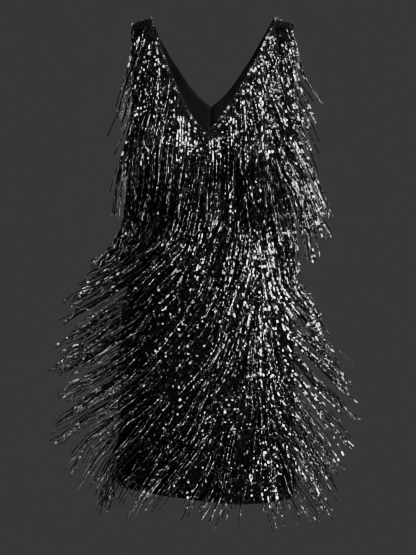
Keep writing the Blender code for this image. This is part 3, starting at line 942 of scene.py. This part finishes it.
BEAD_FACES = np.array(
    [(j, (j + 1) % 4, (j + 1) % 4 + 4) for j in range(4)]
    + [(j, (j + 1) % 4 + 4, j + 4) for j in range(4)]
    + [(0, 3, 2), (0, 2, 1), (4, 5, 6), (4, 6, 7)]
)


def beads(low, high, radius, turn):
    """Square-cut beads, one from each low point to its high point: their points and faces."""
    ahead = unit(high - low)
    across = unit(np.cross(ahead, np.array((0.12, 0.97, 0.21))))
    up = np.cross(ahead, across)
    turns = 2 * math.pi * np.arange(4)[None, :, None] / 4 + turn[:, None, None]
    ring = radius * (np.cos(turns) * across[:, None] + np.sin(turns) * up[:, None])
    points = np.concatenate((ring + low[:, None], ring + high[:, None]), 1)
    faces = BEAD_FACES[None] + 8 * np.arange(len(low))[:, None, None]
    return points.reshape(-1, 3), faces.reshape(-1, 3)


def gathered(lots):
    """Joins lots of points, faces and material slots into one of each."""
    points, faces, slots, start = [], [], [], 0
    for lot_points, lot_faces, slot in lots:
        points.append(lot_points)
        faces.append(lot_faces + start)
        slots.append(np.full(len(lot_faces), slot))
        start += len(lot_points)
    return np.concatenate(points), np.concatenate(faces), np.concatenate(slots)


def tape_lot(side, angles, height):
    """The heading tape of a fringe row: a flat band that follows the cloth."""
    low, high = height - TAPE_TALL / 2, height + TAPE_TALL / 2
    inner, outer = TAPE_LIFT, TAPE_LIFT + TAPE_THICK
    corners = ((low, inner), (low, outer), (high, outer), (high, inner))
    ring = np.stack([cloth_point(side, angles, level, lift) for level, lift in corners], 1)
    count = len(angles)
    i, j = np.arange(count - 1)[:, None] * 4, np.arange(4)[None, :]
    n = (j + 1) % 4
    quads = np.stack((i + j, i + n, i + 4 + n, i + 4 + j), -1).reshape(-1, 4)
    last = 4 * (count - 1)
    quads = np.concatenate((quads, [(3, 2, 1, 0), (last, last + 1, last + 2, last + 3)]))
    if side == FRONT:
        quads = quads[:, ::-1]
    return ring.reshape(-1, 3), np.concatenate((quads[:, :3], quads[:, [0, 2, 3]]))


def waves(run, dice, wavelengths, amount):
    """A smooth random swell along a row."""
    total = np.zeros_like(run)
    for wavelength in wavelengths:
        total += amount * dice.normal() * np.sin(2 * math.pi * (run / wavelength + dice.uniform()))
    return total


def string_run(side, height, hanging, pitch, row, dice):
    """How far along a heading tape each of its strings hangs."""
    angles, run, first, last = row
    room = last - first - 2 * STRING_END_ROOM
    count = max(2, round(room / pitch))
    own_run = first + STRING_END_ROOM + (np.arange(count) + dice.uniform(*STRING_PHASE)) * room / count
    own_run = own_run + dice.normal(0, STRING_STRAY * pitch, count)
    if hanging < 1.0:
        points = cloth_point(side, np.interp(own_run, run, angles), height)
        across = side_share(points[:, 0], np.full(count, height))
        crowd = waves(own_run, dice, CROWD_WAVES, CROWD_SWELL) + dice.normal(0, CROWD_SPREAD, count)
        crowd = crowd + np.interp(across, *CROWDS) * (height > CROWDS_TO)
        own_run = own_run[crowd >= np.quantile(crowd, 1.0 - hanging)]
    return own_run


def string_hang(height, length, own_run, row, roots, fringe, dice):
    """The length, turn and bend of each string. Strings lean to the middle of a clump, and a few stray."""
    angles, run = row[:2]
    count = len(own_run)
    share = side_share(roots[:, 0], np.full(count, height))
    shorter = 1.0 - fringe.length_spread * dice.uniform(0, 1, count) ** SHORT_POWER
    own_length = length * (1.0 + LENGTH_LEAN * share) * shorter
    loose = math.radians(fringe.loose_angle) * (1.0 + SIDE_LOOSENESS * share**2)
    turn = dice.normal(0, loose, count)
    stray = dice.uniform(0, 1, count) < fringe.stray_share
    turn = turn + stray * dice.normal(0, STRAY_ANGLE, count)
    bend = dice.normal(0, loose * BEND_LOOSENESS, count)
    clump_count = max(2, round((own_run[-1] - own_run[0]) / fringe.clump_pitch))
    clumps = np.linspace(own_run[0], own_run[-1], clump_count)
    clumps = clumps + dice.normal(0, CLUMP_STRAY * fringe.clump_pitch, len(clumps))
    nearest = np.abs(own_run[:, None] - clumps).argmin(1)
    drawn = fringe.clump_pull * dice.uniform(*CLUMP_PULLS, count)
    own_angles = np.interp(own_run, run, angles)
    middle = np.interp(clumps[nearest], run, angles)
    towards = np.interp(middle, own_angles, roots[:, 0]) - roots[:, 0]
    return own_length, turn + drawn * towards / own_length, bend


def bead_lots(paths, own_length, fringe, dice):
    """The beads of a row's strings: on each string small ones, or long ones with a small one between."""
    count = len(own_length)
    done = (1 + np.arange(len(paths) - 1)) * fringe.bead_length
    long_beaded = dice.uniform(0, 1, count) < fringe.bugle_share
    place = np.arange(len(paths) - 1)[:, None]
    hangs = done[:, None] <= own_length
    starts_bugle = hangs & long_beaded & (place % 3 == 0)
    starts_bugle[:-1] &= hangs[1:]
    starts_bugle[-1] = False
    in_bugle = starts_bugle.copy()
    in_bugle[1:] |= starts_bugle[:-1]
    is_seed = hangs & ~in_bugle
    is_silvery = dice.uniform(0, 1, count) < fringe.silvery_share
    facing = dice.uniform(0, math.pi / 2, count)
    paths = paths + dice.normal(0, BEAD_WOBBLE, paths.shape)
    lots = []
    for kind, radius, chosen, jump in (
        (BUGLES, fringe.bugle_radius, starts_bugle & ~is_silvery, 2),
        (SEEDS, fringe.seed_radius, is_seed & ~is_silvery, 1),
        (SILVERY, fringe.bugle_radius, starts_bugle & is_silvery, 2),
        (SILVERY, fringe.seed_radius, is_seed & is_silvery, 1),
    ):
        rows, columns = np.nonzero(chosen)
        low, high = paths[rows, columns], paths[rows + jump, columns]
        trim = (high - low) * BEAD_TRIM
        turned = facing[columns] + dice.normal(0, BEAD_TWIST, len(low))
        lots.append((*beads(low + trim, high - trim, radius, turned), kind))
    return lots


def fringe_row(side, ways, height, length, hanging, pitch, fringe, dice):
    """One heading tape with its beaded strings: lots of points, faces and material slots."""
    row = row_places(side, ways, height, TAPE_MARGIN)
    angles, run, first, last = row
    tape_run = np.linspace(first, last, max(4, round((last - first) / TAPE_STEP)))
    tape = (*tape_lot(side, np.interp(tape_run, run, angles), height), TAPE)
    own_run = string_run(side, height, hanging, pitch, row, dice)
    own_angles = np.interp(own_run, run, angles)
    roots = cloth_point(side, own_angles, height - TAPE_TALL / 2, TAPE_LIFT + TAPE_THICK / 2)
    own_length, turn, bend = string_hang(height, length, own_run, row, roots, fringe, dice)
    lift = dice.uniform(0.0, STRING_LIFT, len(own_run))
    spread = dice.uniform(0.0, 1.0, len(own_run))
    step = fringe.bead_length
    paths = string_paths(side, roots, height, own_length, step, turn, bend, lift, spread)
    return [tape] + bead_lots(paths, own_length, fringe, dice)


def edge_heights(low):
    """Heights up a panel's edge from a low one, over the shoulder's roll."""
    straight = np.linspace(low, -SHOULDER_ROLL, max(3, round((-SHOULDER_ROLL - low) / EDGE_STEP)))
    return np.concatenate((straight, roll_heights(EDGE_ROLL_STEPS)))


def neckline(side, way, inset, lift):
    """Points up one side of a neckline, a distance in from the edge."""
    heights = edge_heights(CHEST if side == FRONT else BACK_V)
    angles = inner_angle(side, way, heights, False)
    shift = way * inset / np.maximum(section_half(heights), 0.01)
    return cloth_point(side, angles + shift, heights, lift)


def armhole(side, way):
    """Points up one armhole edge."""
    heights = edge_heights(CHEST + ARMHOLE_FOOT)
    return cloth_point(side, outer_angle(side, way, heights), heights, -PANEL_WALL / 2)


def hem_loop():
    """Points round the hem."""
    turns = np.linspace(HEM_ENDS, math.pi - HEM_ENDS, HEM_STEPS)
    front = cloth_point(FRONT, turns, HEM, -PANEL_WALL / 2)
    back = cloth_point(BACK, turns[::-1], HEM, -PANEL_WALL / 2)
    return np.concatenate((front, back))


def stitch_lot(line):
    """Short stitches along a line of points."""
    run = walked(line)
    middle = np.arange(STITCH_PITCH, run[-1] - STITCH_PITCH, STITCH_PITCH)
    low, high = (
        np.stack([np.interp(middle + end * STITCH_LENGTH / 2, run, line[:, k]) for k in range(3)], 1)
        for end in (-1, 1)
    )
    return beads(low, high, STITCH_RADIUS, np.zeros(len(middle)))


def state_cut(side, way, foot=HEM):
    """Works out the widest row of a panel's cut and its length up to the shoulder, and keeps neither."""
    ways = (LEFT, RIGHT) if way is None else (way,)
    widest = max(row_places(side, ways, height, 0.0)[3] for height in np.linspace(foot, CHEST, CUT_ROWS))
    heights = edge_heights(foot)
    hand = way or LEFT
    up = (outer_angle(side, hand, heights) + inner_angle(side, hand, heights, False)) / 2
    tall = float(walked(body_point(side, up, heights))[-1]) * CUT_LENGTH_EASE


def colour_setting(name, description, default):
    return bpy.props.FloatVectorProperty(
        name=name, description=description, default=default, size=3, subtype="COLOR", min=0.0, max=1.0
    )


def length_setting(name, description, default):
    return bpy.props.FloatProperty(
        name=name, description=description, default=default, unit="LENGTH", min=0.0
    )


def share_setting(name, description, default):
    return bpy.props.FloatProperty(
        name=name, description=description, default=default, subtype="FACTOR", min=0.0, max=1.0
    )


def strength_setting(name, description, default):
    return bpy.props.FloatProperty(name=name, description=description, default=default, min=0.0)


def angle_setting(name, description, default):
    return bpy.props.FloatProperty(
        name=name, description=f"{description}, in degrees", default=default, min=0.0, max=45.0
    )


class SequinSettings(bpy.types.PropertyGroup):
    pitch: length_setting("Pitch", "Distance between sequins along a row", 0.0051)
    step: length_setting("Row step", "Distance from one row of sequins to the next", 0.0043)
    radius: length_setting("Radius", "Radius of a sequin", 0.0024)
    tilt: angle_setting("Tilt", "How far sequins turn out of the cloth's plane", 11.0)
    dark: colour_setting("Dark", "Colour of the darkest sequins", (0.0004, 0.0004, 0.0004))
    light: colour_setting("Light", "Colour of the lightest sequins", (0.0014, 0.0014, 0.0014))
    polish: share_setting("Roughness", "Roughness of the smoothest sequins", 0.03)
    mirror_share: share_setting("Mirror share", "Share of sequins with a metal finish", 0.10)


class FringeSettings(bpy.types.PropertyGroup):
    front_pitch: length_setting("Front pitch", "Distance between strings of one tape on the front", 0.0050)
    back_pitch: length_setting("Back pitch", "Distance between strings of one tape on the back", 0.0088)
    bead_length: length_setting("Bead length", "Length of a small bead, half that of a long one", 0.0038)
    seed_radius: length_setting("Bead radius", "Radius of a small bead", 0.00100)
    bugle_radius: length_setting("Long bead radius", "Radius of a long bead", 0.00088)
    bugle_share: share_setting("Long bead share", "Share of strings with long beads", 0.50)
    length_spread: share_setting("Length spread", "How much shorter the shortest strings are", 0.32)
    loose_angle: angle_setting("Looseness", "How far strings stray from the swing", 0.9)
    clump_pitch: length_setting("Clump pitch", "Distance between the clumps that strings gather in", 0.034)
    clump_pull: share_setting("Clump pull", "How far strings lean to the middle of their clump", 0.36)
    silvery_share: share_setting("Silvery share", "Share of strings with silvery beads", 0.34)
    stray_share: share_setting("Stray share", "Share of strings that fly their own way", 0.04)
    dark: colour_setting("Dark", "Colour of the darkest silvery beads", (0.006, 0.006, 0.006))
    light: colour_setting("Light", "Colour of the lightest silvery beads", (0.300, 0.297, 0.291))


class StudioSettings(bpy.types.PropertyGroup):
    floor: colour_setting("Floor", "Colour of the floor", (0.80, 0.79, 0.77))
    air: strength_setting("Room light", "Strength of the even light", 0.047)
    power: strength_setting("Lamp power", "Strength of all lamps together", 1.0)


def settings(context):
    scene = context.scene
    return scene.fringe_dress_sequins, scene.fringe_dress_fringe, scene.fringe_dress_studio


class FRINGEDRESS_OT_stage(bpy.types.Operator):
    """Adds the camera, the pale floor and the soft studio lamps"""

    bl_idname = "fringe_dress.stage"
    bl_label = "Camera and stage"

    def execute(self, context):
        studio = settings(context)[2]
        view = bpy.data.cameras.new("photo_view")
        view.lens = VIEW_LENS
        view.sensor_width = VIEW_SENSOR
        camera = bpy.data.objects.new("photo_view", view)
        camera.location = VIEW_PLACE
        camera.rotation_euler = (math.radians(90), 0.0, 0.0)
        context.scene.collection.objects.link(camera)
        context.scene.camera = camera

        turns = np.linspace(0, 2 * math.pi, FLOOR_CORNERS, endpoint=False)
        level = np.full(FLOOR_CORNERS, FLOOR)
        rings = [np.stack((r * np.cos(turns), r * np.sin(turns), level), 1) for r in FLOOR_RINGS]
        j = np.arange(FLOOR_CORNERS)
        n = (j + 1) % FLOOR_CORNERS
        points = np.concatenate((*rings, [(0.0, 0.0, FLOOR)]))
        faces = np.concatenate(
            (
                np.stack((np.full(FLOOR_CORNERS, 2 * FLOOR_CORNERS), j, n), 1),
                np.stack((j, j + FLOOR_CORNERS, n), 1),
                np.stack((n, j + FLOOR_CORNERS, n + FLOOR_CORNERS), 1),
            )
        )
        pale = floor_finish(tuple(studio.floor))
        floor = mesh_object("studio_floor", points, faces, 3, [pale], smooth=False)

        air = bpy.data.worlds.new("studio_air")
        air.use_nodes = True
        background = air.node_tree.nodes["Background"]
        background.inputs["Color"].default_value = (0.97, 0.98, 1.0, 1.0)
        background.inputs["Strength"].default_value = studio.air
        context.scene.world = air
        for name, place, aim, width, tall, spread, power in LAMPS:
            lamp = bpy.data.lights.new(name, "AREA")
            lamp.shape = "RECTANGLE"
            lamp.size = width
            lamp.size_y = tall
            lamp.energy = power * studio.power
            lamp.spread = math.radians(spread)
            holder = bpy.data.objects.new(name, lamp)
            holder.location = place
            holder.rotation_euler = (Vector(aim) - Vector(place)).to_track_quat("-Z", "Y").to_euler()
            context.scene.collection.objects.link(holder)
        return {"FINISHED"}


class FRINGEDRESS_OT_panels(bpy.types.Operator):
    """Adds the front and back panels as thin creased shells"""

    bl_idname = "fringe_dress.panels"
    bl_label = "Front and back panels"

    def execute(self, context):
        knit, backing = knit_finish(), backing_finish()
        both = ((LEFT, False), (RIGHT, False))
        front = shell_object("front_cloth", FRONT, both, HEM, 0.0, PANEL_WALL, knit, backing)
        settle(front, "sequin_cloth", "front_panel")
        state_cut(FRONT, None)
        for way, word in WAYS:
            half = ((way, True),)
            back = shell_object(f"back_cloth_{word}", BACK, half, HEM, 0.0, PANEL_WALL, knit, backing)
            settle(back, "sequin_cloth", f"back_panel_{word}")
            state_cut(BACK, way)
        return {"FINISHED"}


class FRINGEDRESS_OT_linings(bpy.types.Operator):
    """Adds the lining of the upper back, with its centre seam and its stitches"""

    bl_idname = "fringe_dress.linings"
    bl_label = "Back lining"

    def execute(self, context):
        cloth, thread = lining_painted_shade_finish(), thread_finish()
        lift = -PANEL_WALL - SEAM_GAP
        inside = lift - LINING_WALL
        for way, word in WAYS:
            half = ((way, True),)
            name = f"back_lining_cloth_{word}"
            lining = shell_object(name, BACK, half, LINING_FOOT, lift, LINING_WALL, cloth, cloth)
            settle(lining, "lining", f"back_lining_{word}")
            state_cut(BACK, way, LINING_FOOT)
        lots = []
        for way, _ in WAYS:
            lots.append((*stitch_lot(neckline(BACK, way, NECK_STITCH_INSET, inside)), 0))
            foot, top = LINING_FOOT + STITCH_FOOT_ROOM, BACK_V - STITCH_TOP_ROOM
            heights = np.linspace(foot, top, STITCH_LINE_STEPS)
            angles = inner_angle(BACK, way, heights, True) + way * SEAM_STITCH_INSET / section_half(heights)
            lots.append((*stitch_lot(cloth_point(BACK, angles, heights, inside)), 0))
        points, faces, slots = gathered(lots)
        settle(mesh_object("lining_stitches", points, faces, 3, [thread], slots), "lining")
        heights = np.linspace(LINING_FOOT + SEAM_END_ROOM, BACK_V - SEAM_END_ROOM, SEAM_STEPS)
        seam = cloth_point(BACK, inner_angle(BACK, RIGHT, heights, False), heights, inside)
        cord = edge_cord("lining_centre_seam", [(seam, False)], SEAM_RADIUS, SEAM_SIDES, cloth)
        settle(cord, "lining")
        return {"FINISHED"}


class FRINGEDRESS_OT_edges(bpy.types.Operator):
    """Adds the rolled edges of the neck, armholes and hem"""

    bl_idname = "fringe_dress.edges"
    bl_label = "Rolled edges"

    def execute(self, context):
        binding = tape_finish("edge_binding", 0.0015)
        lines = []
        for side, _ in SIDES:
            lines += [(neckline(side, way, 0.0, -PANEL_WALL / 2), False) for way, _ in WAYS]
            lines += [(armhole(side, way), False) for way, _ in WAYS]
        settle(edge_cord("neck_and_armhole_edges", lines, EDGE_THICK, EDGE_SIDES, binding), "sequin_cloth")
        settle(edge_cord("hem_edge", [(hem_loop(), True)], EDGE_THICK, EDGE_SIDES, binding), "sequin_cloth")
        return {"FINISHED"}


class FRINGEDRESS_OT_sequins(bpy.types.Operator):
    """Covers the panels with rows of cupped sequins"""

    bl_idname = "fringe_dress.sequins"
    bl_label = "Sequins"

    def execute(self, context):
        sequins = settings(context)[0]
        dice = np.random.default_rng(SEED)
        dark, light, polish = tuple(sequins.dark), tuple(sequins.light), sequins.polish
        plastic = sequin_finish("black_sequins", dark, light, polish, 0.0)
        mirror = sequin_finish("mirror_sequins", (0.030, 0.030, 0.030), (0.140, 0.138, 0.135), polish, 1.0)
        stud = bead_finish("edge_beads", (0.05, 0.05, 0.05), (0.30, 0.297, 0.29), 0.10, 1.0)
        tilt = math.radians(sequins.tilt)
        for side, ways, name in PANEL_PARTS:
            upper = FRONT_STRAP_ROWS if side == FRONT else (("", BACK_STRAP_ROW), ("", BACK_YOKE_ROW))
            rows = FRINGE_ROWS + upper
            tapes = np.array([tape[0] for _, row in rows for tape in row])
            angles, heights = sequin_places(side, ways, sequins.pitch, sequins.step, dice)
            on_tape = np.abs(heights[:, None] - tapes).min(1) < TAPE_TALL / 2 + sequins.radius * 0.7
            lift = np.where(on_tape, TAPE_LIFT + TAPE_THICK + SEQUIN_OVER_TAPE, SEQUIN_LIFT)
            lots = [(*sequin_lot(side, angles, heights, lift, sequins.radius, tilt, dice), SEQUINS)]
            for way in ways:
                for edge in ("neck", "armhole"):
                    angles, heights = edge_places(side, way, edge, sequins.pitch * EDGE_ROW_SPACING)
                    row = sequin_lot(side, angles, heights, EDGE_ROW_LIFT, sequins.radius, tilt, dice)
                    lots.append((*row, SEQUINS))
                    lots.append((*stud_lot(side, angles, heights), STUDS))
            points, faces, slots = gathered(lots)
            flat = slots == SEQUINS
            own = dice.uniform(0, 1, flat.sum() // SEQUIN_CORNERS) < sequins.mirror_share
            slots[flat] = np.repeat(np.where(own, MIRRORS, SEQUINS), SEQUIN_CORNERS)
            finishes = [plastic, mirror, stud]
            piece = mesh_object(f"{name}_sequins", points, faces, 3, finishes, slots, smooth=False)
            piece.data.polygons.foreach_set("use_smooth", slots == STUDS)
            settle(piece, "sequin_cloth")
        return {"FINISHED"}


class FRINGEDRESS_OT_fringe(bpy.types.Operator):
    """Hangs the rows of beaded string fringe, caught in their swing"""

    bl_idname = "fringe_dress.fringe"
    bl_label = "Beaded fringe"

    def execute(self, context):
        fringe = settings(context)[1]
        dice = np.random.default_rng(SEED + 1)
        dark, light = tuple(fringe.dark), tuple(fringe.light)
        materials = [
            tape_finish("heading_tape", 0.0015),
            bead_finish("jet_bugles", (0.0006, 0.0006, 0.0006), (0.0020, 0.0020, 0.0020), 0.05, 0.0),
            bead_finish("jet_seeds", (0.0006, 0.0006, 0.0006), (0.0024, 0.0024, 0.0024), 0.04, 0.0),
            bead_finish("silvery_beads", dark, light, 0.10, 1.0),
        ]
        both = (LEFT, RIGHT)
        places = []
        for side, word in SIDES:
            places += [(f"{word}_{number}", side, both, row) for number, row in FRINGE_ROWS]
        for way, hand in WAYS:
            for number, row in FRONT_STRAP_ROWS:
                places.append((f"front_strap_{hand}_{number}", FRONT, (way,), row))
            places.append((f"back_strap_{hand}", BACK, (way,), BACK_STRAP_ROW))
        places.append(("back_yoke", BACK, both, BACK_YOKE_ROW))
        for place, side, ways, row in places:
            pitch = fringe.front_pitch if side == FRONT else fringe.back_pitch
            lots = []
            for height, length, hanging in row:
                lots += fringe_row(side, ways, height, length, hanging, pitch, fringe, dice)
            points, faces, slots = gathered(lots)
            piece = mesh_object(f"beaded_{place}", points, faces, 3, materials, slots, smooth=False)
            piece.data.polygons.foreach_set("use_smooth", slots == SILVERY)
            settle(piece, "fringe", f"fringe_{place}")
        return {"FINISHED"}


class FRINGEDRESS_PT_panel(bpy.types.Panel):
    bl_idname = "FRINGEDRESS_PT_panel"
    bl_label = "Fringe Dress"
    bl_space_type = "VIEW_3D"
    bl_region_type = "UI"
    bl_category = "Fringe Dress"

    def draw(self, context):
        for operator in OPERATORS:
            self.layout.operator(operator.bl_idname)
        for group in settings(context):
            box = self.layout.box()
            for name in group.bl_rna.properties.keys():
                if name not in ("rna_type", "name"):
                    box.prop(group, name)


OPERATORS = (
    FRINGEDRESS_OT_stage,
    FRINGEDRESS_OT_panels,
    FRINGEDRESS_OT_linings,
    FRINGEDRESS_OT_edges,
    FRINGEDRESS_OT_sequins,
    FRINGEDRESS_OT_fringe,
)
GROUPS = (
    ("fringe_dress_sequins", SequinSettings),
    ("fringe_dress_fringe", FringeSettings),
    ("fringe_dress_studio", StudioSettings),
)


def register():
    for name, group in GROUPS:
        bpy.utils.register_class(group)
        setattr(bpy.types.Scene, name, bpy.props.PointerProperty(type=group))
    for operator in OPERATORS:
        bpy.utils.register_class(operator)
    bpy.utils.register_class(FRINGEDRESS_PT_panel)


def unregister():
    bpy.utils.unregister_class(FRINGEDRESS_PT_panel)
    for operator in reversed(OPERATORS):
        bpy.utils.unregister_class(operator)
    for name, group in reversed(GROUPS):
        delattr(bpy.types.Scene, name)
        bpy.utils.unregister_class(group)


def main():
    register()
    bpy.ops.fringe_dress.stage()
    bpy.ops.fringe_dress.panels()
    bpy.ops.fringe_dress.linings()
    bpy.ops.fringe_dress.edges()
    bpy.ops.fringe_dress.sequins()
    bpy.ops.fringe_dress.fringe()


if __name__ == "__main__":
    main()
